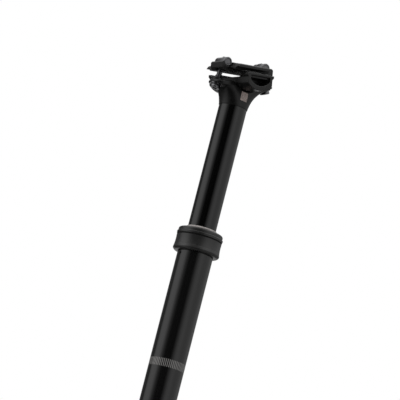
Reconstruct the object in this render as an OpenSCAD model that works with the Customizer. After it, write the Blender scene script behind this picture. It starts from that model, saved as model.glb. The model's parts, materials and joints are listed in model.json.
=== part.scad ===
// Dropper seatpost: outer tube with collar, sliding post with gas cartridge,
// two-bolt saddle clamp head and cable release foot.
// Millimetres. +Z up along the post, +X to the front of the bicycle, +Y to its left.
// The origin is on the post axis, on the underside of the collar.

/* [Post] */
// Outside diameter of the outer tube
tube_d = 31.6; // [30.8:0.1:35]
// Diameter of the sliding post
post_d = 25; // [24:0.2:25.6]
// Travel of the sliding post
travel = 100; // [80:1:125]
// Length of sliding post held below the collar when raised
overlap = 46; // [44:1:70]
// Sliding post still showing when dropped
drop_gap = 11.9; // [6:0.2:20]
// Diameter of the index dimple on the front of the outer tube
dimple_d = 2.6; // [1:0.2:3]

/* [Collar] */
// Largest diameter of the collar
collar_d = 41.5; // [40.5:0.2:45]
// Height of the collar
collar_h = 20.7; // [19.6:0.1:26]
// Wiper ring standing above the collar
wiper_rise = 2.2; // [1.5:0.1:5]

/* [Head] */
// Slope of the clamp against the post, front end down
head_tilt = 11.5; // [8:0.5:14]
// Rail centre above the lower edge of the head
rail_rise = 31.4; // [30.6:0.1:36]
// Half length of the head across both bolt ears
ear_reach = 31; // [30:0.2:34]
// Width of the head
head_w = 23; // [20:0.5:25]
// Thickness of a bolt ear
ear_t = 4.1; // [3.6:0.1:5]
// Slope of the ears against the clamp at rest, front end down
ear_pitch = 2; // [0:0.5:3]

/* [Saddle clamp] */
// Diameter of a saddle rail
rail_d = 7; // [6.6:0.1:7.4]
// Distance between the two rails
rail_gap = 44; // [43:0.2:46]
// Length of the rail flange of the lower cradle
cradle_len = 29.2; // [28:0.2:31]
// Length of the body of the lower cradle under its flange
body_len = 26.2; // [24:0.2:27.4]
// Width of the lower cradle
cradle_w = 57.5; // [55:0.5:62]
// Radius of the rocking belly of the cradle
belly_r = 17.8; // [17.2:0.1:18.2]
// Length of the rail lips of the upper clamp
lip_len = 36.6; // [34:0.2:38]
// Forward shift of the rail lips
lip_shift = 2.8; // [0:0.2:4]
// Length of the spine of the upper clamp
spine_len = 56; // [54:0.5:62]
// Distance of each barrel nut from the middle of the clamp
nut_x = 20.76; // [20:0.02:22]
// Clamp bolt thread diameter
bolt_d = 5; // [4:0.1:5.2]
// Clamp bolt head diameter
bolt_head_d = 8.5; // [7.6:0.1:9]
// Barrel nut diameter
nut_d = 8.4; // [8:0.1:9]
// Barrel nut length
nut_len = 15; // [12:0.5:17]

/* [Cartridge] */
// Piston rod diameter
rod_d = 8; // [7:0.1:9]
// Bore of the cartridge tube
cyl_bore = 15; // [14:0.1:15.6]
// Wall of the cartridge tube
cyl_wall = 2; // [1.2:0.1:2.4]
// Release pin diameter
pin_d = 2.8; // [2:0.1:3.2]

/* [Release foot] */
// Depth of the foot plug inside the outer tube
plug_len = 9; // [7:0.5:14]
// Cable housing seat diameter
housing_d = 5.2; // [4.8:0.1:5.4]
// Depth of the cable housing seat
housing_seat = 8; // [6:0.5:10]
// Distance of the cable from the post axis
cable_x = 11; // [10.6:0.1:11.2]
// Distance of the lever pivot from the post axis
pivot_x = 3.6; // [3:0.1:4.2]
// Width of the release lever
lever_w = 7; // [5:0.2:7.4]

/* [Output] */
// Sub-part to draw

/* [Hidden] */
$fn = 64;
// clearances: still fit, running fit, swinging fit
fit = 0.05;
run = 0.15;
swing = 0.3;
cut = 1;

tube_r = tube_d / 2;
post_r = post_d / 2;
bush_t = 1.5;
bore_r = post_r + bush_t;
post_wall = 2;
post_bore_r = post_r - post_wall;

tube_top = 13;
wiper_top = collar_h + wiper_rise;
seam_z = wiper_top + travel + drop_gap;
rail_z = seam_z + rail_rise;
post_end = -overlap;
bumper_h = 5;
plug_top = post_end - travel - swing - bumper_h;
tube_end = plug_top - plug_len;

collar_r = collar_d / 2;
thread_r = tube_r - 0.6;
band_r = collar_r - 0.5;
bead_r = collar_r - 0.15;
cap_r = collar_r - 1;
foot_round = 2.9;
waist_r = 40;
waist_in = 0.3;
bead_round = 1;
bead_drop = 4.5;
undercut = 0.65;
cap_h = 3.3;
cap_round = 1.6;
seal_seat_r = post_r + 2.3;
seal_top = collar_h - 3;
lip_drop = 1.2;
lip_h = 0.6;
ring_r = post_r + 1.4;

rod_r = rod_d / 2;
pin_r = pin_d / 2;
pin_bore_r = pin_r + run;
cyl_r = cyl_bore / 2;
cyl_out_r = cyl_r + cyl_wall;
circlip_t = 1.2;
circlip_z = post_end + 1.2;
gland_z = circlip_z + circlip_t;
gland_flange = 3;
cyl_end = gland_z + gland_flange;
gland_plug = 11;
gland_top = cyl_end + gland_plug;
stop_h = 2.7;
piston_z = gland_top + stop_h + swing;
piston_h = 10;
piston_top = piston_z + piston_h;
poppet_h = 2.4;
float_ratio = pow(rod_r / cyl_r, 2);
float_h = 8;
float_gap = 2;
spigot_len = 21;
cap_plug = 8;
cap_flange = 4;
cap_top = seam_z - spigot_len;
cyl_top = cap_top - cap_flange;
cyl_room = cyl_top - cap_plug;
float_z = cyl_room - float_gap - travel * float_ratio - float_h;
charge_r = 1.6;
charge_floor = 3;
gland_groove = 5;

bush_lo_z = post_end + 6;
bush_lo_h = 16;
groove_d = 0.3;
key_r = 1.25;
key_at = post_r + 0.7;
key_z = bush_lo_z + bush_lo_h + 2;
key_h = 14;

neck_r = post_r + 0.3;
spigot_z = cap_top;
head_bore_r = 7;
head_bore_up = 6;
ear_cut = 9;
ear_drill = 24;
ear_low = -11.9;
boss_top = -6.8;
boss_r = bolt_head_d / 2 + 1.1;
rock_z = 1.9;
bolt_r = bolt_d / 2 - fit;
bolt_top = 12.4;
washer_t = 1;
seat_up = 0.9;
bolt_head_h = 3.2;
socket_h = 2;
nut_z = 8;
nut_r = nut_d / 2;
// a bolt stands square to the line from the rocking axis, so its nut stays on it as the clamp rocks
bolt_lean = atan2(nut_z - rock_z, nut_x);
bolt_x = nut_x + (nut_z - ear_low) * tan(bolt_lean);
function ear_at(side) = ear_low - side * bolt_x * tan(ear_pitch);
function along_bolt(side, z) = (z - ear_at(side)) / cos(bolt_lean);
groove_r = rail_d / 2 + fit;
rail_y = rail_gap / 2;
part_gap = 1.2;
flange_low = -3.3;
belly_wall = 4.2;
side_wall = 2.7;
pocket_deep = 12;
gully_z = -4.4;
spine_w = 17;
spine_top = 8;
spine_dip = 4;
dip_len = 18;
dip_w = 10;
slot_low = 14;
lip_high = 9;
lip_heel = 4.8;
lip_toe = 2.6;
lip_slope = 4.2;
brow_y = 9;
brow_z = 7.6;
under_z = 3.4;

foot_r = tube_r - 0.5;
fork_top = tube_end - 2;
lever_sink = 8.2;
pivot_z = tube_end - lever_sink;
nose_r = 2;
nose_top = pivot_z + 2.7;
pin_low = nose_top + swing;
pivot_r = 1.25;
barrel_r = 2.6;
arm_r = barrel_r + 1.2;
lever_drop = 8.5;
bridge_top = pivot_z - lever_drop;
foot_end = bridge_top - 3 - housing_seat;
fork_y = lever_w / 2 + 0.5;
cheek_y = 9.5;
fork_back = 9;

// a ring between two radii, from z up by h
module ring(r_in, r_out, z, h) {
  translate([0, 0, z]) difference() {
    cylinder(r = r_out, h = h);
    translate([0, 0, -cut]) cylinder(r = r_in, h = h + 2 * cut);
  }
}

module bore(r, z, h) {
  translate([0, 0, z]) cylinder(r = r, h = h);
}

// a cylinder along Y, centred
module cross_bar(r, w) {
  rotate([90, 0, 0]) cylinder(r = r, h = w, center = true);
}

// the saddle clamp's own frame: rail centres at its zero, x along the rails
module at_clamp() {
  translate([0, 0, rail_z]) rotate([0, head_tilt, 0]) children();
}

// the frame of one clamp bolt, its z along the bolt, zero at the ear
module at_bolt(side) {
  at_clamp() translate([side * nut_x, 0, nut_z]) rotate([0, -side * bolt_lean, 0])
    translate([0, 0, -along_bolt(side, nut_z)]) children();
}

module o_ring(at_r, thick, z) {
  translate([0, 0, z]) rotate_extrude() translate([at_r, 0]) circle(r = thick, $fn = 24);
}

module outer_tube() {
  color([0.10, 0.10, 0.11]) difference() {
    union() {
      bore(tube_r, tube_end, -tube_end);
      bore(thread_r, -cut, tube_top + cut);
    }
    bore(bore_r, tube_end - cut, tube_top - tube_end + 2 * cut);
    for (a = [90, 210, 330]) rotate(a) translate([key_at, 0, plug_top])
      cylinder(r = key_r + swing, h = -4 - plug_top, $fn = 32);
    translate([tube_r + 0.4, 0, -3]) sphere(d = dimple_d, $fn = 24);
  }
}

module collar_profile() {
  bead_z = collar_h - bead_drop;
  difference() {
    union() {
      translate([seal_seat_r, 0]) square([collar_r - foot_round + 0.2 - seal_seat_r, foot_round]);
      translate([collar_r - foot_round, foot_round]) circle(r = foot_round, $fn = 48);
      translate([seal_seat_r, foot_round - 0.6]) square([band_r - seal_seat_r, bead_z - foot_round]);
      translate([seal_seat_r, bead_z - 1]) square([bead_r - bead_round - seal_seat_r, bead_drop - cap_h + 2]);
      translate([bead_r - bead_round, bead_z]) circle(r = bead_round, $fn = 32);
      translate([seal_seat_r, collar_h - cap_h]) square([cap_r - seal_seat_r, cap_h - cap_round]);
      translate([seal_seat_r, collar_h - cap_h]) square([cap_r - cap_round - seal_seat_r, cap_h]);
      translate([cap_r - cap_round, collar_h - cap_round]) circle(r = cap_round, $fn = 40);
    }
    translate([0, -cut]) square([thread_r + fit, tube_top + fit + cut]);
    translate([band_r + waist_r - waist_in, collar_h / 2 - 0.4]) circle(r = waist_r, $fn = 128);
    translate([band_r - undercut, bead_z - 2.7]) square([undercut + cut, 1.4]);
  }
}

module collar() {
  color([0.16, 0.16, 0.17]) rotate_extrude() collar_profile();
}

module wiper_ring() {
  color([0.68, 0.67, 0.66]) rotate_extrude() polygon([
    [post_r + run, wiper_top - 1.2], [post_r + run, wiper_top - 0.4], [post_r + 0.5, wiper_top],
    [ring_r - 0.3, wiper_top], [ring_r, wiper_top - 0.4], [ring_r, collar_h + 0.2],
    [seal_seat_r - fit, collar_h - 0.4], [seal_seat_r - fit, collar_h - 3],
    [post_r + 0.9, collar_h - 3], [post_r + 0.9, wiper_top - 2]]);
}

module oil_seal() {
  color([0.07, 0.07, 0.08]) rotate_extrude() polygon([
    [post_r + 0.9, tube_top + fit], [seal_seat_r - fit, tube_top + fit],
    [seal_seat_r - fit, seal_top], [post_r + 0.9, seal_top],
    [post_r + run, seal_top - lip_drop], [post_r + run, seal_top - lip_drop - lip_h], [post_r + 0.9, seal_top - 2 * lip_drop - lip_h + 0.4]]);
}

module upper_bushing() {
  color([0.35, 0.37, 0.36]) ring(post_r + 0.06, bore_r - fit, -2, tube_top + 2);
}

module foot_housing() {
  color([0.14, 0.14, 0.15]) difference() {
    union() {
      bore(bore_r - fit, tube_end - fit, plug_len + fit);
      bore(foot_r, fork_top, tube_end - fork_top);
      intersection() {
        bore(foot_r, foot_end, fork_top - foot_end + fit);
        union() {
          for (s = [-1, 1]) translate([0, s * (fork_y + cheek_y) / 2, 0]) fork_cheek(cheek_y - fork_y);
          translate([cable_x - 6, -cheek_y, foot_end]) cube([2 * tube_r, 2 * cheek_y, bridge_top - foot_end]);
        }
      }
    }
    bore(rod_r + fit, fork_top - cut, plug_top - fork_top + 2 * cut);
    translate([pivot_x, 0, pivot_z]) cross_bar(pivot_r + fit, 2 * tube_d);
    translate([cable_x, 0, foot_end - cut]) cylinder(d = housing_d, h = housing_seat + cut);
    translate([cable_x, 0, foot_end]) cylinder(r = 1, h = bridge_top - foot_end + cut);
    translate([cable_x, -0.8, foot_end + housing_seat + 0.6]) cube([tube_r, 1.6, 4]);
  }
}

// one cheek of the fork, seen from the side, extruded across
module fork_cheek(t) {
  rotate([90, 0, 0]) linear_extrude(height = t, center = true) difference() {
    union() {
      polygon([[-fork_back, fork_top + fit], [tube_r, fork_top + fit], [tube_r, foot_end],
        [cable_x - 6, foot_end], [-3, pivot_z - 3]]);
      translate([0, pivot_z - 1]) circle(r = 4.4);
    }
    translate([cable_x - 1, pivot_z - 1]) circle(r = 3.1);
  }
}

module piston_rod() {
  color([0.75, 0.76, 0.78]) difference() {
    bore(rod_r, fork_top, piston_z + 5 - fork_top);
    bore(pin_bore_r, fork_top - cut, piston_z + 5 - fork_top + 2 * cut);
  }
}

module rod_nut() {
  color([0.55, 0.56, 0.58]) translate([0, 0, plug_top]) difference() {
    cylinder(r = rod_r + 3, h = 4, $fn = 6);
    translate([0, 0, -cut]) cylinder(r = rod_r + fit, h = 4 + 2 * cut);
  }
}

module bottom_bumper() {
  color([0.06, 0.06, 0.06]) rotate_extrude() polygon([
    [post_bore_r - 1.2, plug_top], [post_r + 0.6, plug_top], [post_r + 0.6, plug_top + 3.4],
    [post_r, plug_top + bumper_h], [post_bore_r, plug_top + bumper_h], [post_bore_r - 1.2, plug_top + 3.4]]);
}

module piston() {
  color([0.72, 0.60, 0.32]) difference() {
    bore(cyl_r - run, piston_z, piston_h);
    bore(rod_r + fit, piston_z - cut, 5 + cut);
    bore(2.2, piston_z, piston_h + cut);
    difference() {
      bore(cyl_r + cut, piston_z + 5.6, 2.8);
      bore(cyl_r - 2.2, piston_z + 5, 4);
    }
    for (a = [0, 120, 240]) rotate(a) translate([cyl_r - 3.2, 0, piston_z - cut])
      cylinder(r = 0.7, h = piston_h + 2 * cut, $fn = 24);
  }
}

module piston_seal() {
  color([0.07, 0.07, 0.08]) o_ring(cyl_r - 1.2, 0.95, piston_z + 7);
}

module lever_pin() {
  color([0.70, 0.71, 0.73]) translate([pivot_x, 0, pivot_z]) cross_bar(pivot_r, 2 * cheek_y);
}

module sliding_post() {
  color([0.05, 0.05, 0.06]) difference() {
    bore(post_r, post_end, seam_z - post_end);
    bore(post_bore_r, post_end - cut, seam_z - post_end + 2 * cut);
    ring(post_bore_r - cut, post_bore_r + 0.6, circlip_z, circlip_t);
    ring(post_r - groove_d, post_r + cut, bush_lo_z, bush_lo_h);
    for (a = [90, 210, 330]) rotate(a) translate([key_at, 0, key_z])
      cylinder(r = key_r + fit, h = key_h, $fn = 32);
  }
}

// head body: sections that grow from the round neck to the long bolt ears
SIDES = 48;
STEPS = 12;
function ease(f) = f * f * (3 - 2 * f);
function power(c, n) = sign(c) * pow(abs(c), 2 / n);
flare_h = rail_rise + ear_low * cos(head_tilt);
flare_x = ear_low * sin(head_tilt);
front_flare = 0.85;
rear_flare = 1.3;
function half_len(f, bend) = neck_r + (ear_reach - neck_r) * pow(1 - cos(90 * f), bend);
function half_wide(f) = neck_r + (head_w / 2 - neck_r) * ease(f);
function roundness(f) = 2 + 1.8 * f;
function section(f, up, trim) = [for (k = [0:SIDES - 1])
  let (t = 360 * k / SIDES, n = roundness(f), tip = (head_tilt + ear_pitch) * ease(f),
    bend = cos(t) > 0 ? front_flare : rear_flare,
    x = (half_len(f, bend) - trim) * power(cos(t), n), y = (half_wide(f) - trim) * power(sin(t), n))
  [flare_x * ease(f) + x * cos(tip) + up * sin(tip), y,
    seam_z + flare_h * sin(90 * f) - x * sin(tip) + up * cos(tip)]];
head_rings = concat([for (i = [0:STEPS]) section(i / STEPS, 0, 0)],
  [section(1, ear_t - 1, 0), section(1, ear_t - 0.3, 0.3), section(1, ear_t, 1)]);

module loft(rings) {
  n = len(rings[0]);
  m = len(rings);
  points = [for (r = rings) for (p = r) p];
  walls = [for (i = [0:m - 2]) for (k = [0:n - 1])
    let (a = i * n + k, b = i * n + (k + 1) % n) each [[a, a + n, b + n], [a, b + n, b]]];
  floor_face = [for (k = [0:n - 1]) k];
  roof_face = [for (k = [n - 1:-1:0]) (m - 1) * n + k];
  polyhedron(points, concat(walls, [floor_face], [roof_face]));
}

module seat_head() {
  color([0.13, 0.13, 0.13]) difference() {
    union() {
      loft(head_rings);
      bore(post_bore_r - fit, spigot_z, seam_z - spigot_z + 2);
      for (s = [-1, 1]) at_bolt(s) translate([0, 0, seat_up]) boss(along_bolt(s, boss_top) - seat_up);
    }
    bore(head_bore_r, spigot_z - cut, seam_z + head_bore_up - spigot_z + cut);
    at_clamp() translate([0, 0, rock_z]) cross_bar(belly_r + swing, 2 * head_w);
    for (s = [-1, 1]) at_bolt(s) {
      translate([0, 0, -ear_cut]) cylinder(r = bolt_r + swing, h = ear_drill);
      translate([0, 0, seat_up - ear_cut]) cylinder(d = bolt_head_d + 2.6, h = ear_cut);
      translate([s * ear_reach / 2, 0, seat_up - ear_cut / 2]) cube([ear_reach, 2 * head_w, ear_cut], center = true);
    }
  }
}

// raised round pad on an ear, with a chamfered rim
module boss(h) {
  rim = 0.5;
  cylinder(r = boss_r, h = h - rim);
  translate([0, 0, h - rim - 0.01]) cylinder(r1 = boss_r, r2 = boss_r - rim, h = rim);
}

module lower_bushing() {
  color([0.35, 0.37, 0.36])
    ring(post_r - groove_d + fit, bore_r - 0.06, bush_lo_z + fit, bush_lo_h - 2 * fit);
}

module guide_keys() {
  color([0.78, 0.62, 0.28]) for (a = [90, 210, 330]) rotate(a)
    translate([key_at, 0, key_z + fit]) cylinder(r = key_r, h = key_h - 2 * fit, $fn = 32);
}

module cartridge_tube() {
  color([0.62, 0.63, 0.65]) ring(cyl_r, cyl_out_r, cyl_end, cyl_top - cyl_end);
}

module cartridge_cap() {
  color([0.50, 0.51, 0.53]) difference() {
    union() {
      bore(cyl_r - fit, cyl_room, cap_plug + 1);
      bore(post_bore_r - fit, cyl_top, cap_top - cyl_top);
    }
    bore(charge_r, cyl_room + charge_floor, cap_plug + cap_flange);
  }
}

module cartridge_gland() {
  color([0.50, 0.51, 0.53]) difference() {
    union() {
      bore(post_bore_r - fit, gland_z, gland_flange);
      bore(cyl_r - fit, gland_z + 1, gland_top - gland_z - 1);
    }
    bore(rod_r + 0.08, gland_z - cut, gland_top - gland_z + 2 * cut);
    bore(rod_r + 1.9, gland_z + gland_groove, 2.6);
  }
}

module rod_seal() {
  color([0.07, 0.07, 0.08]) o_ring(rod_r + 1.05, 0.8, gland_z + gland_groove + 1.3);
}

module circlip() {
  color([0.40, 0.41, 0.43]) difference() {
    ring(post_bore_r - 1.6, post_bore_r + 0.5, circlip_z + 0.1, circlip_t - 0.1);
    translate([0, -2, circlip_z - cut]) cube([post_r, 4, circlip_t + 2 * cut]);
  }
}

module top_out_bumper() {
  color([0.06, 0.06, 0.06]) ring(rod_r + swing, cyl_r - 0.4, gland_top, stop_h);
}

module clamp_bolt(side) {
  head_z = seat_up - washer_t - bolt_head_h;
  tip_z = along_bolt(side, bolt_top);
  color([0.42, 0.42, 0.43]) at_bolt(side) difference() {
    rotate_extrude() polygon([[0, head_z], [bolt_head_d / 2 - 0.5, head_z], [bolt_head_d / 2, head_z + 0.5],
      [bolt_head_d / 2, seat_up - washer_t], [bolt_r, seat_up - washer_t], [bolt_r, tip_z - 0.6],
      [bolt_r - 0.6, tip_z], [0, tip_z]]);
    translate([0, 0, head_z - cut]) cylinder(d = bolt_d * 0.92, h = socket_h + cut, $fn = 6);
  }
}

module front_bolt() {
  clamp_bolt(1);
}

module rear_bolt() {
  clamp_bolt(-1);
}

module bolt_washer(side) {
  color([0.50, 0.50, 0.51]) at_bolt(side) translate([0, 0, seat_up - washer_t]) difference() {
    cylinder(d = bolt_head_d + 1.6, h = washer_t);
    translate([0, 0, -cut]) cylinder(r = bolt_r + fit, h = washer_t + 2 * cut);
  }
}

module front_washer() {
  bolt_washer(1);
}

module rear_washer() {
  bolt_washer(-1);
}

// the two round rail seats, cut from both clamp halves
module rail_pair(len) {
  for (s = [-1, 1]) translate([0, s * rail_y, 0]) rotate([0, 90, 0])
    cylinder(r = groove_r, h = len, center = true);
}

// outline of the lower cradle seen from the side: rail flange over a narrower body
module cradle_side() {
  flange = cradle_len / 2;
  body = body_len / 2;
  polygon([[-flange, -part_gap], [-flange, flange_low], [-body, flange_low - (flange - body)],
    [-body, -2 * belly_r], [body, -2 * belly_r], [body, flange_low - (flange - body)],
    [flange, flange_low], [flange, -part_gap]]);
}

// one end pocket, reaching in from y_in, below z_top
module end_pocket(side, y_in, z_top) {
  intersection() {
    translate([0, side * (y_in + cradle_w / 2), rock_z]) cross_bar(belly_r - belly_wall, cradle_w);
    translate([-body_len / 2 + side_wall, -2 * cradle_w, z_top - 2 * belly_r])
      cube([body_len - 2 * side_wall, 4 * cradle_w, 2 * belly_r]);
  }
}

module lower_cradle() {
  gully_y = rail_y - groove_r - 2.4;
  color([0.15, 0.15, 0.15]) at_clamp() difference() {
    intersection() {
      translate([0, 0, rock_z]) cross_bar(belly_r, cradle_w);
      rotate([90, 0, 0]) linear_extrude(height = 2 * cradle_w, center = true) cradle_side();
    }
    rail_pair(2 * cradle_len);
    translate([-cradle_len, -gully_y, gully_z]) cube([2 * cradle_len, 2 * gully_y, -gully_z]);
    for (s = [-1, 1]) {
      end_pocket(s, cradle_w / 2 - pocket_deep, -groove_r - 1.6);
      end_pocket(s, rail_y + groove_r + 0.8, flange_low);
    }
  }
}

// outline of the upper clamp seen along the rails
module clamp_arch() {
  lip_y = rail_y + 2.2;
  lip_top = groove_r + 2.2;
  polygon([[-lip_y, part_gap], [-lip_y, lip_top - 0.8], [-lip_y + 0.8, lip_top], [-rail_y + 3, lip_top + 0.3],
    [-brow_y, brow_z], [brow_y, brow_z], [rail_y - 3, lip_top + 0.3], [lip_y - 0.8, lip_top], [lip_y, lip_top - 0.8],
    [lip_y, part_gap], [rail_y - 6, part_gap], [brow_y + 1, under_z], [-brow_y - 1, under_z], [-rail_y + 6, part_gap]]);
}

// outline of the rail lips seen from the side, the front end sloped
module lip_side() {
  front = lip_shift + lip_len / 2;
  rear = lip_shift - lip_len / 2;
  polygon([[rear, 0], [rear, lip_heel], [rear + 1.4, lip_high], [front - lip_slope, lip_high], [front, lip_toe], [front, 0]]);
}

// outline of the spine seen from the side
module spine_side() {
  half = spine_len / 2;
  polygon([[-half, 2.4], [-half, spine_top - 1.2], [-half + 1.2, spine_top], [half - 1.2, spine_top],
    [half, spine_top - 1.2], [half, 2.4], [half - 2.2, 0.2], [-half + 2.2, 0.2]]);
}

module upper_clamp() {
  color([0.15, 0.15, 0.15]) at_clamp() difference() {
    union() {
      intersection() {
        translate([lip_shift, 0, 0]) rotate([90, 0, 90]) linear_extrude(height = 2 * lip_len, center = true) clamp_arch();
        rotate([90, 0, 0]) linear_extrude(height = 2 * cradle_w, center = true) lip_side();
      }
      rotate([90, 0, 0]) linear_extrude(height = spine_w, center = true) spine_side();
    }
    rail_pair(2 * lip_len);
    for (s = [-1, 1]) {
      translate([s * nut_x, 0, nut_z]) cross_bar(nut_r + swing, spine_w + 8);
      translate([s * nut_x, 0, nut_z]) rotate([0, -s * bolt_lean, 0]) bolt_slot();
    }
    translate([-dip_len / 2, -dip_w / 2, spine_top - spine_dip]) cube([dip_len, dip_w, spine_dip + cut]);
  }
}

// room for a bolt to rock in the spine
module bolt_slot() {
  half = bolt_r + 1.8;
  wide = bolt_r + 0.5;
  translate([-half, -wide, -slot_low]) cube([2 * half, 2 * wide, slot_low + nut_r + 1.8]);
}

module barrel_nut(side) {
  color([0.60, 0.60, 0.62]) at_clamp() translate([side * nut_x, 0, nut_z]) difference() {
    cross_bar(nut_r, nut_len);
    rotate([0, -side * bolt_lean, 0]) cylinder(r = bolt_r + swing + fit, h = 4 * nut_r, center = true);
  }
}

module front_nut() {
  barrel_nut(1);
}

module rear_nut() {
  barrel_nut(-1);
}

// web of the lever seen from the side, from the nose to the cable arm
module lever_web() {
  polygon([[0, nose_top - nose_r + 0.9], [pivot_x, pivot_z + 1.8], [cable_x, pivot_z + 2.4],
    [cable_x, pivot_z - 2.4], [pivot_x, pivot_z - 2.2], [0, nose_top - 2 * nose_r + 0.4]]);
}

module release_lever() {
  color([0.45, 0.46, 0.48]) difference() {
    union() {
      translate([pivot_x, 0, pivot_z]) cross_bar(2.7, lever_w);
      translate([0, 0, nose_top - nose_r]) cross_bar(nose_r, lever_w);
      translate([cable_x, 0, pivot_z]) cross_bar(arm_r, lever_w);
      rotate([90, 0, 0]) linear_extrude(height = lever_w, center = true) lever_web();
    }
    translate([pivot_x, 0, pivot_z]) cross_bar(pivot_r + 0.06, 2 * lever_w);
    translate([cable_x, 0, pivot_z]) cross_bar(barrel_r + fit, 2 * lever_w);
    translate([cable_x - 1.1, -1.1, pivot_z - 2 * arm_r]) cube([2 * arm_r, 2.2, 4 * arm_r]);
  }
}

module cable_barrel() {
  color([0.72, 0.60, 0.32]) translate([cable_x, 0, pivot_z]) difference() {
    cross_bar(barrel_r, lever_w + 0.4);
    cylinder(r = 0.9, h = 4 * barrel_r, center = true, $fn = 32);
    translate([0, 1, 0]) rotate([-90, 0, 0]) cylinder(r = 1.3, h = lever_w);
  }
}

module barrel_screw() {
  color([0.30, 0.30, 0.32]) translate([cable_x, 1, pivot_z]) rotate([-90, 0, 0]) difference() {
    cylinder(r = 1.25, h = lever_w / 2 - 1);
    translate([0, 0, lever_w / 2 - 2.2]) cylinder(r = 0.75, h = 3, $fn = 6);
  }
}

module release_pin() {
  color([0.70, 0.71, 0.73]) bore(pin_r, pin_low, piston_top - pin_low + 0.2);
}

module valve_poppet() {
  color([0.72, 0.60, 0.32]) translate([0, 0, piston_top + 0.2]) rotate_extrude()
    polygon([[0, 0], [3.2, 0], [3.2, 1], [1.6, poppet_h], [0, poppet_h]]);
}

module floating_piston() {
  color([0.62, 0.63, 0.65]) difference() {
    bore(cyl_r - run, float_z, float_h);
    bore(cyl_r - 3, float_z + 5.6, float_h);
    difference() {
      bore(cyl_r + cut, float_z + 2.6, 2.8);
      bore(cyl_r - 2.2, float_z + 2, 4);
    }
  }
}

module floating_seal() {
  color([0.07, 0.07, 0.08]) o_ring(cyl_r - 1.2, 0.95, float_z + 4);
}

outer_tube();
collar();
wiper_ring();
oil_seal();
upper_bushing();
foot_housing();
piston_rod();
rod_nut();
bottom_bumper();
piston();
piston_seal();
lever_pin();
sliding_post();
seat_head();
lower_bushing();
guide_keys();
cartridge_tube();
cartridge_cap();
cartridge_gland();
rod_seal();
circlip();
top_out_bumper();
front_bolt();
rear_bolt();
front_washer();
rear_washer();
lower_cradle();
upper_clamp();
front_nut();
rear_nut();
release_lever();
cable_barrel();
barrel_screw();
release_pin();
valve_poppet();
floating_piston();
floating_seal();
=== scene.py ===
import bpy
import json
import math
from mathutils import Matrix, Vector


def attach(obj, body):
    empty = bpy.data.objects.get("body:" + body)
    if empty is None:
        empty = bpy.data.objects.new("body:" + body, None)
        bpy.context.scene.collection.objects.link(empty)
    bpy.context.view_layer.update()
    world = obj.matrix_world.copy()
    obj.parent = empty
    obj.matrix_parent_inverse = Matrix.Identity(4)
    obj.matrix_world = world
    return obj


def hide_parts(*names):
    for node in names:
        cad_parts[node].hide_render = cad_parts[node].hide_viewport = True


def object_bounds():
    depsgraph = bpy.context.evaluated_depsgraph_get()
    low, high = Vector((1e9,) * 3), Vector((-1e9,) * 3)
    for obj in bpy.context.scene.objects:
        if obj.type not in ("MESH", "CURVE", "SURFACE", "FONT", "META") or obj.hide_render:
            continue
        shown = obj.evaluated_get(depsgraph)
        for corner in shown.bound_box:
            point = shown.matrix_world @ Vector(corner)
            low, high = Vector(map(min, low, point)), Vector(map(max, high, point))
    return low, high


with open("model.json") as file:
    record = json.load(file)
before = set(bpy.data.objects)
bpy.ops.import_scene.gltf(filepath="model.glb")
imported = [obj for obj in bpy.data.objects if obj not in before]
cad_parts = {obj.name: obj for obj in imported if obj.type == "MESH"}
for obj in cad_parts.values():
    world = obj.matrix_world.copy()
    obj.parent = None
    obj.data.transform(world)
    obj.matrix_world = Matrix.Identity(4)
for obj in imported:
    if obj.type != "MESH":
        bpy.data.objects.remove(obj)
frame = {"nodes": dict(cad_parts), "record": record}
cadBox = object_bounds()
mm = 0.001
nodes = frame["nodes"]
record = frame["record"]
bodyOf = {name: body for body, held in record["behaviour"]["bodies"].items() for name in held}
slotOf = {piece["node"]: piece["material_slot"] for piece in record["subparts"]}
joints = record["behaviour"]["joints"]
jointAt = {joint["name"]: Vector(joint["pos_m"]) for joint in joints if "pos_m" in joint}
print("frame loaded:", len(nodes), "nodes")


# picking and finishing, used by every piece

def pickOnly(obj):
    bpy.ops.object.select_all(action="DESELECT")
    obj.select_set(True)
    bpy.context.view_layer.objects.active = obj


def openMesh(obj):
    pickOnly(obj)
    bpy.ops.object.mode_set(mode="EDIT")
    bpy.ops.mesh.select_all(action="SELECT")


def closeMesh():
    bpy.ops.object.mode_set(mode="OBJECT")


def applyAll(obj):
    pickOnly(obj)
    for mod in list(obj.modifiers):
        bpy.ops.object.modifier_apply(modifier=mod.name)


def settle(obj):
    pickOnly(obj)
    bpy.ops.object.transform_apply(location=True, rotation=True, scale=True)  # place goes into the mesh


# shader sums

class Wire:  # a shader socket that can stand in a sum
    def __init__(self, paint, socket):
        self.paint = paint
        self.socket = socket

    def sum(self, kind, a, b):
        return self.paint.add("ShaderNodeMath", {"operation": kind}, {0: a, 1: b})

    def __add__(self, other):
        return self.sum("ADD", self, other)

    def __sub__(self, other):
        return self.sum("SUBTRACT", self, other)

    def __mul__(self, other):
        return self.sum("MULTIPLY", self, other)

    def __rsub__(self, other):
        return self.sum("SUBTRACT", other, self)

    __radd__ = __add__
    __rmul__ = __mul__


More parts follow.
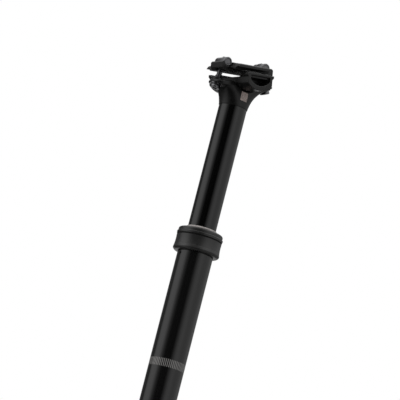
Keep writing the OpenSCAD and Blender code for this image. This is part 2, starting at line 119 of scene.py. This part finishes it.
class Paint:  # the nodes of one material, or of the world
    def __init__(self, holder, outlet="ShaderNodeOutputMaterial", shader="ShaderNodeBsdfPrincipled"):
        self.holder = holder
        holder.use_nodes = True
        self.tree = holder.node_tree
        self.tree.nodes.clear()
        self.outlet = self.tree.nodes.new(outlet)
        self.shader = self.tree.nodes.new(shader)
        self.tree.links.new(self.shader.outputs[0], self.outlet.inputs[0])

    def feed(self, socket, value):
        if isinstance(value, Wire):
            self.tree.links.new(value.socket, socket)
        else:
            socket.default_value = value

    def add(self, kind, settings, values, out=0):
        node = self.tree.nodes.new(kind)
        for key, value in settings.items():
            if key == "stops":  # a ramp's places and levels
                ramp = node.color_ramp
                while len(ramp.elements) < len(value):
                    ramp.elements.new(0.5)
                for stop, (place, level) in zip(ramp.elements, value):
                    stop.position = place
                    stop.color = (level, level, level, 1)
            else:
                setattr(node, key, value)
        for key, value in values.items():
            self.feed(node.inputs[key], value)
        return Wire(self, node.outputs[out])

    def place(self, stretch=(1, 1, 1)):
        where = self.add("ShaderNodeTexCoord", {}, {}, "Object")
        return self.add("ShaderNodeMapping", {"vector_type": "POINT"}, {"Vector": where, "Scale": stretch})

    def noise(self, scale, detail, rough, stretch=(1, 1, 1)):
        return self.add("ShaderNodeTexNoise", {},
                        {"Vector": self.place(stretch), "Scale": scale, "Detail": detail, "Roughness": rough})

    def pits(self, scale):
        return self.add("ShaderNodeTexVoronoi", {"feature": "F1"}, {"Vector": self.place(), "Scale": scale})

    def axes(self):
        where = self.add("ShaderNodeTexCoord", {}, {}, "Object")
        return [self.add("ShaderNodeSeparateXYZ", {}, {0: where}, axis) for axis in range(3)]

    def wave(self, value):  # 0 to 1
        return self.add("ShaderNodeMath", {"operation": "SINE"}, {0: value}) * 0.5 + 0.5

    def step(self, value, low, high, start=0.0, end=1.0):
        return self.add("ShaderNodeMapRange", {"interpolation_type": "SMOOTHSTEP"},
                        {0: value, 1: low, 2: high, 3: start, 4: end})

    def between(self, value, low, high, soft):  # limits in mm
        return (self.step(value, (low - soft) * mm, (low + soft) * mm)
                * self.step(value, (high + soft) * mm, (high - soft) * mm))

    def blend(self, share, a, b):
        return self.add("ShaderNodeMix", {"data_type": "RGBA"}, {0: share, 6: a, 7: b}, 2)

    def bump(self, height, depth, strength):  # depth in mm
        return self.add("ShaderNodeBump", {}, {"Strength": strength, "Distance": depth * mm, "Height": height})

    def set(self, **values):
        for key, value in values.items():
            self.feed(self.shader.inputs[key.replace("_", " ")], value)
        return self.holder


def newPaint(name):
    return Paint(bpy.data.materials.new(name))


def grey(v, warm=0.0):
    return (v * (1 + warm), v, v * (1 - warm), 1)


def scaled(tint, share, lift=0.0):
    return tuple(min(1, c * share + lift) for c in tint[:3]) + (1,)


# finishes

cells = {  # size of the marks, in cells to a metre
    "drawnLine": 420, "drawnHaze": 38, "drawnSpeck": 1500,
    "forgedCloud": 55, "forgedDust": 210,
    "mouldGrain": 2600, "mouldCloud": 70, "mouldWear": 320,
    "latheLine": 2200, "latheCloud": 160,
    "rubberGrain": 1800, "rubberDust": 260,
}
ticks = {"low": -104, "high": -97, "soft": 0.15, "count": 60, "strength": 0.7}  # etched at the least insertion
patch = {"x": -0.3, "z": 144.8, "wide": 7, "tall": 8, "soft": 0.1, "pitch": 0.75, "tint": (0.5, 0.41, 0.38, 1),
         "flankLow": 4, "flankHigh": 8}  # plain etched dots on the head's left flank


def postBlack(name, base, gloss, scuffs, marked=False):
    paint = newPaint(name)
    line = paint.noise(cells["drawnLine"], 4, 0.6, stretch=(1, 1, 0.012))  # drawn along the tube
    haze = paint.noise(cells["drawnHaze"], 4, 0.55)
    speck = paint.step(paint.noise(cells["drawnSpeck"], 2, 0.5), 0.66, 0.74)
    rub = paint.step(line, 0.58, 0.72) * scuffs
    colour = paint.blend(rub + speck * 0.12, grey(base), grey(base * 4 + 0.01, 0.03))
    rough = gloss + (haze - 0.5) * 0.1 + line * 0.05 + rub * 0.12 + speck * 0.1
    if marked:
        x, y, z = paint.axes()
        turn = paint.add("ShaderNodeMath", {"operation": "ARCTAN2"}, {0: y, 1: x})
        tick = paint.step(paint.wave(turn * ticks["count"]), 0.55, 0.7)
        band = paint.between(z, ticks["low"], ticks["high"], ticks["soft"])
        etch = tick * band * ticks["strength"]
        colour = paint.blend(etch, colour, grey(0.22, 0.03))
        rough = rough + etch * 0.3
    return paint.set(Base_Color=colour, Roughness=rough, Normal=paint.bump(line, 0.004, 0.25))


def forgedBlack(name, base, gloss, grain, shine, coat, patched=False):
    paint = newPaint(name)
    peen = paint.pits(grain)
    cloud = paint.noise(cells["forgedCloud"], 5, 0.6)
    dust = paint.step(paint.noise(cells["forgedDust"], 5, 0.65), 0.56, 0.78)
    colour = paint.blend(dust * 0.5 + cloud * 0.3, grey(base), grey(base * 2.4, 0.04))
    rough = gloss + (cloud - 0.5) * 0.16 + dust * 0.1
    if patched:
        x, y, z = paint.axes()
        halfWide, halfTall = patch["wide"] / 2, patch["tall"] / 2
        around = paint.between(x, patch["x"] - halfWide, patch["x"] + halfWide, patch["soft"])
        along = paint.between(z, patch["z"] - halfTall, patch["z"] + halfTall, patch["soft"])
        flank = paint.step(y, patch["flankLow"] * mm, patch["flankHigh"] * mm)
        turns = 2 * math.pi / (patch["pitch"] * mm)
        dots = paint.wave(x * turns) * paint.wave(z * turns)
        etch = around * along * flank * paint.step(dots, 0.1, 0.3)
        colour = paint.blend(etch, colour, patch["tint"])
        rough = rough + etch * 0.2
    return paint.set(Base_Color=colour, Roughness=rough, Specular_IOR_Level=shine, Coat_Weight=coat,
                     Coat_Roughness=0.28, Normal=paint.bump(peen, 0.05, 0.35))


def mouldedBlack(name, base, gloss):
    paint = newPaint(name)
    grain = paint.noise(cells["mouldGrain"], 3, 0.6)
    cloud = paint.noise(cells["mouldCloud"], 4, 0.55)
    worn = paint.step(paint.noise(cells["mouldWear"], 4, 0.65), 0.54, 0.8)
    colour = paint.blend(cloud * 0.25 + worn * 0.35, grey(base), grey(base * 2.6 + 0.004, 0.03))
    rough = gloss + (cloud - 0.5) * 0.12 + worn * 0.1
    return paint.set(Base_Color=colour, Roughness=rough, Normal=paint.bump(grain, 0.03, 0.4))


def turnedMetal(name, tint, gloss, tarnish):
    paint = newPaint(name)
    lines = paint.noise(cells["latheLine"], 2, 0.5, stretch=(0.15, 0.15, 1))
    stain = paint.step(paint.noise(cells["latheCloud"], 5, 0.62), 0.5, 0.78) * tarnish
    colour = paint.blend(stain, tint, scaled(tint, 0.45))
    rough = gloss + (lines - 0.5) * 0.14 + stain * 0.3
    return paint.set(Base_Color=colour, Roughness=rough, Metallic=1.0, Normal=paint.bump(lines, 0.01, 0.3))


def rubber(name, tint, gloss, shine):
    paint = newPaint(name)
    grain = paint.noise(cells["rubberGrain"], 4, 0.6)
    dust = paint.step(paint.noise(cells["rubberDust"], 5, 0.6), 0.5, 0.8)
    colour = paint.blend(dust, scaled(tint, 0.82), scaled(tint, 1.5, 0.01))
    return paint.set(Base_Color=colour, Roughness=gloss + dust * 0.15, Specular_IOR_Level=shine,
                     Normal=paint.bump(grain, 0.02, 0.4))


finish = {
    "tube_black": postBlack("tubeBlack", 0.003, 0.1, 0.05, marked=True),
    "post_black": postBlack("postBlack", 0.0008, 0.08, 0.02),
    "collar_black": mouldedBlack("collarBlack", 0.008, 0.33),
    "wiper_pale": rubber("wiperPale", (0.40, 0.37, 0.355, 1), 0.5, 0.5),
    "seal_rubber": rubber("sealRubber", (0.003, 0.003, 0.003, 1), 0.66, 0.12),
    "bushing_grey": rubber("bushingGrey", (0.13, 0.135, 0.13, 1), 0.46, 0.5),
    "foot_black": forgedBlack("footBlack", 0.009, 0.4, 1900, 0.4, 0),
    "head_black": forgedBlack("headBlack", 0.003, 0.32, 1500, 0.2, 0.18, patched=True),
    "clamp_black": forgedBlack("clampBlack", 0.004, 0.34, 2300, 0.28, 0.06),
    "rod_chrome": turnedMetal("rodChrome", (0.62, 0.62, 0.63, 1), 0.1, 0.05),
    "bolt_steel": turnedMetal("boltSteel", (0.14, 0.14, 0.145, 1), 0.3, 0.4),
    "brass": turnedMetal("brassTurned", (0.60, 0.42, 0.17, 1), 0.28, 0.3),
    "cartridge_alloy": turnedMetal("cartridgeAlloy", (0.55, 0.56, 0.58, 1), 0.3, 0.2),
    "lever_alloy": turnedMetal("leverAlloy", (0.48, 0.49, 0.51, 1), 0.34, 0.25),
}


def dress(obj, slotName):
    obj.data.materials.clear()
    obj.data.materials.append(finish[slotName])


for name, obj in nodes.items():
    dress(obj, slotOf[name])
print("finishes made:", len(finish))


def keep(obj, body, slotName, covers=(), angle=34):
    settle(obj)
    bpy.ops.object.shade_smooth_by_angle(angle=math.radians(angle))
    dress(obj, slotName)
    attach(obj, body)
    for name in covers:
        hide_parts(name)


# rounded copies of the machined and forged nodes

weld = {"gap": 0.003, "flat": 1.0}  # doubles in mm, flat faces in degrees
softEdges = {  # bevel width in mm, steps, least edge angle in degrees
    "release_lever": (0.25, 2, 40),
    "cable_barrel": (0.2, 2, 40),
}
forgings = {  # skin's grain in mm, smoothing passes, share of faces kept
    "seat_head": (0.3, 12, 0.45),
    "lower_cradle": (0.24, 5, 0.28),
    "upper_clamp": (0.2, 5, 0.22),
    "foot_housing": (0.23, 5, 0.28),
}


def mergedCopy(name, ending):
    copy = bpy.data.objects.new(name + ending, nodes[name].data.copy())
    bpy.context.scene.collection.objects.link(copy)
    openMesh(copy)
    bpy.ops.mesh.remove_doubles(threshold=weld["gap"] * mm)
    bpy.ops.mesh.dissolve_limited(angle_limit=math.radians(weld["flat"]))
    closeMesh()
    return copy


def soften(name, width, steps, angle):
    copy = mergedCopy(name, "_soft")
    edge = copy.modifiers.new("edge", "BEVEL")
    edge.width = width * mm
    edge.segments = steps
    edge.limit_method = "ANGLE"
    edge.angle_limit = math.radians(angle)
    edge.use_clamp_overlap = True
    applyAll(copy)
    keep(copy, bodyOf[name], slotOf[name], covers=[name])


def forged(name, grain, passes, share):
    copy = mergedCopy(name, "_forged")
    skin = copy.modifiers.new("skin", "REMESH")
    skin.mode = "VOXEL"
    skin.voxel_size = grain * mm
    soft = copy.modifiers.new("soft", "SMOOTH")
    soft.factor = 0.5
    soft.iterations = passes
    thin = copy.modifiers.new("thin", "DECIMATE")
    thin.ratio = share
    applyAll(copy)
    keep(copy, bodyOf[name], slotOf[name], covers=[name], angle=70)


for name, (width, steps, angle) in softEdges.items():
    soften(name, width, steps, angle)
print("edges rounded:", len(softEdges))
for name, (grain, passes, share) in forgings.items():
    forged(name, grain, passes, share)
print("skins forged:", len(forgings))


# turned work: a profile of (radius, height) in mm, drawn point by point and spun round the Z axis

lathe = {"gap": 0.001, "threadSteps": 28}  # doubles in mm, faces to a turn of thread


def drawProfile(name, points):
    bpy.ops.mesh.primitive_plane_add(size=1 * mm, location=(0, 0, 0))
    obj = bpy.context.object
    obj.name = name
    openMesh(obj)
    bpy.ops.mesh.merge(type="CENTER")
    bpy.ops.transform.translate(value=(points[0][0] * mm, 0, points[0][1] * mm))
    for (r0, z0), (r1, z1) in zip(points, points[1:]):
        bpy.ops.mesh.extrude_region_move(TRANSFORM_OT_translate={"value": ((r1 - r0) * mm, 0, (z1 - z0) * mm)})
    bpy.ops.mesh.select_all(action="SELECT")
    bpy.ops.mesh.remove_doubles(threshold=lathe["gap"] * mm)  # closes a profile that ends where it starts
    closeMesh()
    return obj


def turned(name, points, faces):
    obj = drawProfile(name, points)
    openMesh(obj)
    bpy.ops.mesh.spin(steps=faces, angle=2 * math.pi, center=(0, 0, 0), axis=(0, 0, 1))
    bpy.ops.mesh.select_all(action="SELECT")
    bpy.ops.mesh.remove_doubles(threshold=lathe["gap"] * mm)
    bpy.ops.mesh.normals_make_consistent(inside=False)
    closeMesh()
    return obj


def thread(name, screw, high):
    pitch, low, crest, flat = screw["pitch"], screw["threadLow"], screw["r"], screw["crestHalf"]
    flank, sunk = pitch * screw["flank"], screw["root"] - screw["sunk"]
    obj = drawProfile(name, [(sunk, low - flank), (crest, low - flat), (crest, low + flat), (sunk, low + flank),
                             (sunk, low - flank)])
    wind = obj.modifiers.new("wind", "SCREW")
    wind.steps = wind.render_steps = lathe["threadSteps"]
    wind.screw_offset = pitch * mm
    wind.iterations = int((high - low) / pitch)
    wind.use_merge_vertices = False
    applyAll(obj)
    openMesh(obj)
    bpy.ops.mesh.select_mode(type="EDGE")
    bpy.ops.mesh.select_all(action="DESELECT")
    bpy.ops.mesh.select_non_manifold(extend=False)
    bpy.ops.mesh.fill()  # the thread's two ends
    bpy.ops.mesh.select_mode(type="VERT")
    bpy.ops.mesh.select_all(action="SELECT")
    bpy.ops.mesh.normals_make_consistent(inside=False)
    closeMesh()
    return obj


def carve(obj, tool):
    cut = obj.modifiers.new("cut", "BOOLEAN")
    cut.operation = "DIFFERENCE"
    cut.solver = "EXACT"
    cut.object = tool
    applyAll(obj)
    bpy.data.objects.remove(tool)


def joinAll(name, held):
    bpy.ops.object.select_all(action="DESELECT")
    for obj in held:
        obj.select_set(True)
    bpy.context.view_layer.objects.active = held[0]
    bpy.ops.object.join()
    held[0].name = name
    return held[0]


# the clamp's own axes, from the joints that it turns on

rock, frontNut, rearNut = (jointAt[name] for name in ("clamp_tilt", "front_nut_turn", "rear_nut_turn"))
clampAlong = (frontNut - rearNut).normalized()
clampUp = clampAlong.cross(Vector((0, 1, 0)))
clampTilt = math.atan2(-clampAlong.z, clampAlong.x)
nutReach = (frontNut - rearNut).length / 2
boltLean = math.atan2(((frontNut + rearNut) / 2 - rock).dot(clampUp), nutReach)

bolt = {
    "r": 2.45, "root": 2.08, "shank": 3.2, "runout": 3.6, "point": 0.5, "faces": 48,
    "headR": 4.25, "head": -3.3, "under": -0.1, "socket": 4.2, "socketDeep": 2,
    "crown": [(0.75, 0), (0.3, 0.12), (0, 0.5)], "heel": [(0, 0.3), (0.2, 0)],  # in from the side, off the end
    "threadLow": 3.9, "threadEnd": 0.9, "pitch": 0.8, "flank": 0.42, "crestHalf": 0.05, "sunk": 0.1,
    "drop": 19.9, "past": 4.4, "earPitch": 2,  # nut's axis down to the ears, tip above that axis, degrees
}


def clampBolt(name, centre, side):
    tangent = math.tan(boltLean)
    earAcross = nutReach / mm + bolt["drop"] * tangent
    drop = bolt["drop"] + side * earAcross * math.tan(math.radians(bolt["earPitch"]))
    tip = (drop + bolt["past"]) / math.cos(boltLean)
    r, root, headR, head, under, point = (bolt[key] for key in ("r", "root", "headR", "head", "under", "point"))
    crown = [(headR - inward, head + up) for inward, up in bolt["crown"]]
    heel = [(headR - inward, under - down) for inward, down in bolt["heel"]]
    shank = [(r, under), (r, bolt["shank"]), (root, bolt["runout"]), (root, tip - point), (root - point, tip)]
    core = turned("core", [(0, head)] + crown + heel + shank + [(0, tip)], bolt["faces"])
    bpy.ops.mesh.primitive_cylinder_add(vertices=6, radius=bolt["socket"] / math.sqrt(3) * mm,
                                        depth=2 * bolt["socketDeep"] * mm, location=(0, 0, head * mm))
    carve(core, bpy.context.object)
    ridge = thread("ridge", bolt, tip - bolt["threadEnd"])
    whole = joinAll(name + "_turned", [core, ridge])
    whole.rotation_euler = (0, clampTilt - side * boltLean, 0)
    whole.location = centre + (clampAlong * side * tangent - clampUp) * drop * mm
    keep(whole, bodyOf[name], slotOf[name], covers=[name])


clampBolt("front_bolt", frontNut, 1)
clampBolt("rear_bolt", rearNut, -1)
print("clamp bolts turned and threaded")


nut = {"r": 4.2, "half": 7.5, "chamfer": 0.45, "dish": 0.35, "rim": 1.3, "slope": 0.4, "hole": 2.8, "faces": 56,
       "corner": [(0.1, 0.7), (0, 1.3)]}  # in from the side in mm, off the end in chamfers


def barrelNut(name, centre, side):
    half, edge = nut["half"], nut["chamfer"]
    inner, floor = nut["r"] - nut["rim"], half - nut["dish"]
    end = [(0, floor), (inner - nut["slope"], floor), (inner, half), (nut["r"] - edge, half)]
    end += [(nut["r"] - inward, half - edge * off) for inward, off in nut["corner"]]
    barrel = turned("barrel", [(r, -z) for r, z in end] + end[::-1], nut["faces"])
    barrel.rotation_euler = (math.radians(90), 0, 0)
    settle(barrel)
    bpy.ops.mesh.primitive_cylinder_add(vertices=40, radius=nut["hole"] * mm, depth=5 * nut["r"] * mm,
                                        rotation=(0, clampTilt - side * boltLean, 0))
    carve(barrel, bpy.context.object)
    barrel.name = name + "_turned"
    barrel.location = centre
    keep(barrel, bodyOf[name], slotOf[name], covers=[name])


barrelNut("front_nut", frontNut, 1)
barrelNut("rear_nut", rearNut, -1)
print("barrel nuts turned")


grub = {"x": 14.7, "z": -3, "r": 0.85, "deep": 0.7, "chamfer": 0.15, "faces": 32,
        "socket": 0.45, "socketDeep": 0.45}


def indexScrew():
    r, deep, edge = grub["r"], grub["deep"], grub["chamfer"]
    outline = [(0, 0), (r, 0), (r, deep - edge), (r - edge, deep), (0, deep)]
    screw = turned("index_screw", outline, grub["faces"])
    bpy.ops.mesh.primitive_cylinder_add(vertices=6, radius=grub["socket"] * mm,
                                        depth=2 * grub["socketDeep"] * mm, location=(0, 0, deep * mm))
    carve(screw, bpy.context.object)
    screw.rotation_euler = (0, math.radians(90), 0)
    screw.location = (grub["x"] * mm, 0, grub["z"] * mm)
    keep(screw, bodyOf["outer_tube"], "seal_rubber")


indexScrew()
print("index screw set")


# a near-black ring sunk in the collar's groove: painted shade that darkens the groove under the cap
shadeRing = {"in": 19.5, "out": 19.95, "low": 13.55, "high": 14.85, "faces": 128}


def collarShadeRing():
    corners = [("in", "low"), ("out", "low"), ("out", "high"), ("in", "high"), ("in", "low")]
    ring = turned("collar_gasket", [(shadeRing[r], shadeRing[z]) for r, z in corners], shadeRing["faces"])
    keep(ring, bodyOf["collar"], "seal_rubber")


collarShadeRing()
print("collar gasket laid")


# camera, from the photograph's fit: aim and field in mm, lean in degrees, range in metres

shot = {"aim": (6.46, -4.44, 47.9), "back": (0.5546, 0.8069, -0.2023), "lean": 14.4,
        "range": 3.0, "field": 348.4, "sensor": 36, "clip": 50}


def placeCamera():
    back = Vector(shot["back"]).normalized()
    side = Vector((0, 0, 1)).cross(back).normalized()
    rise = back.cross(side)
    c, s = math.cos(math.radians(shot["lean"])), math.sin(math.radians(shot["lean"]))
    right, up = side * c + rise * s, rise * c - side * s
    bpy.ops.object.camera_add()
    cam = bpy.context.object
    cam.matrix_world = Matrix((right, up, back)).transposed().to_4x4()
    cam.location = Vector(shot["aim"]) * mm + back * shot["range"]
    cam.data.sensor_width = shot["sensor"]
    cam.data.lens = shot["sensor"] * shot["range"] / (shot["field"] * mm)
    cam.data.clip_end = shot["clip"]
    bpy.context.scene.camera = cam


placeCamera()


# stage and light, in metres and watts

studio = {
    "mirrorGain": 1.35, "mirrorLow": 0.35, "mirrorHigh": 1.25, "mirrorSpan": 0.9,  # span: sine of the height
    "fillLow": 0.3, "fillHigh": 0.7, "fillSpan": 0.8,
    "overhead": 0.85, "overheadFrom": 0.38, "overheadTo": 0.8,
    "floorSize": 14, "floorNear": 0.5, "floorFar": 2.2, "floorPale": 0.84, "floorDim": 0.78,
}
mirror = [  # what the gloss shows, by degrees round the post from the camera (plus is to the right)
    (-180, 0.74), (-170, 0.74), (-160, 0.12), (-140, 0.09), (-113, 0.12), (-98, 0.8), (-82, 1.0), (-66, 1.0),
    (-46, 0.26), (-30, 0.02), (9, 0.01), (22, 0.28), (36, 0.62), (50, 0.72), (72, 0.54), (96, 0.47),
    (122, 0.42), (160, 0.12), (170, 0.74), (180, 0.74),
]
lamps = {  # place, size, power
    "keyLeft": ((1.7, 0.1, 0.9), (0.7, 1.2), 16),
    "fillRight": ((-1.1, 1.5, 0.6), (0.6, 1.0), 6),
}
lampAim = Vector((0, 0, 0.08))


def stageFloor():
    bpy.ops.mesh.primitive_plane_add(size=studio["floorSize"], location=(0, 0, cadBox[0][2]))
    floor = bpy.context.object
    floor.name = "studioFloor"
    floor.visible_glossy = False
    settle(floor)
    paint = newPaint("floorPale")
    tone = paint.noise(3, 3, 0.5)
    paint.set(Base_Color=paint.blend(tone * 0.2, grey(studio["floorPale"]), grey(studio["floorDim"])),
              Roughness=0.85)
    under = paint.add("ShaderNodeNewGeometry", {}, {}, "Backfacing")  # the photograph looks up from below it
    x, y, z = paint.axes()
    away = x * x + y * y
    far = paint.step(away, studio["floorNear"] ** 2, studio["floorFar"] ** 2)  # white behind, with no edge
    clear = paint.add("ShaderNodeBsdfTransparent", {}, {})
    pale = Wire(paint, paint.shader.outputs[0])
    both = paint.add("ShaderNodeMixShader", {}, {0: under + far - under * far, 1: pale, 2: clear})
    paint.feed(paint.outlet.inputs[0], both)
    floor.data.materials.append(paint.holder)


def lightWorld():
    sky = Paint(bpy.data.worlds.new("studioWorld"), "ShaderNodeOutputWorld", "ShaderNodeBackground")
    bpy.context.scene.world = sky.holder
    back = Vector((shot["back"][0], shot["back"][1], 0)).normalized()
    side = Vector((0, 0, 1)).cross(back)
    way = sky.add("ShaderNodeTexCoord", {}, {}, "Generated")
    across = sky.add("ShaderNodeVectorMath", {"operation": "DOT_PRODUCT"}, {0: way, 1: side}, 1)
    towards = sky.add("ShaderNodeVectorMath", {"operation": "DOT_PRODUCT"}, {0: way, 1: back}, 1)
    turn = sky.add("ShaderNodeMath", {"operation": "ARCTAN2"}, {0: across, 1: towards})
    stops = [((angle + 180) / 360, level) for angle, level in mirror]
    band = sky.add("ShaderNodeValToRGB", {"stops": stops}, {0: turn * (0.5 / math.pi) + 0.5})
    rise = sky.add("ShaderNodeSeparateXYZ", {}, {0: way}, 2)
    span, wide = studio["mirrorSpan"], studio["fillSpan"]
    tall = sky.step(rise, -span, span, studio["mirrorLow"], studio["mirrorHigh"])
    above = sky.step(rise, studio["overheadFrom"], studio["overheadTo"], 0, studio["overhead"])
    fill = sky.step(rise, -wide, wide, studio["fillLow"], studio["fillHigh"])
    seen, gloss, through = (sky.add("ShaderNodeLightPath", {}, {}, ray)
                            for ray in ("Is Camera Ray", "Is Glossy Ray", "Is Transmission Ray"))
    shine = sky.add("ShaderNodeMath", {"operation": "ADD", "use_clamp": True}, {0: gloss, 1: through})
    level = fill + (band * tall * studio["mirrorGain"] + above - fill) * shine
    sky.set(Color=(1, 1, 1, 1), Strength=level + (1.0 - level) * seen)  # plain white behind the part


def softbox(name, spot, size, power):
    bpy.ops.object.light_add(type="AREA", location=spot)
    lamp = bpy.context.object
    lamp.name = name
    lamp.data.shape = "RECTANGLE"
    lamp.data.size, lamp.data.size_y = size
    lamp.data.energy = power
    lamp.visible_camera = False
    lamp.visible_glossy = False
    lamp.rotation_euler = (Vector(spot) - lampAim).to_track_quat("Z", "Y").to_euler()


stageFloor()
lightWorld()
for name, (spot, size, power) in lamps.items():
    softbox(name, spot, size, power)
bpy.context.scene.view_settings.view_transform = "Standard"
print("stage and light set")
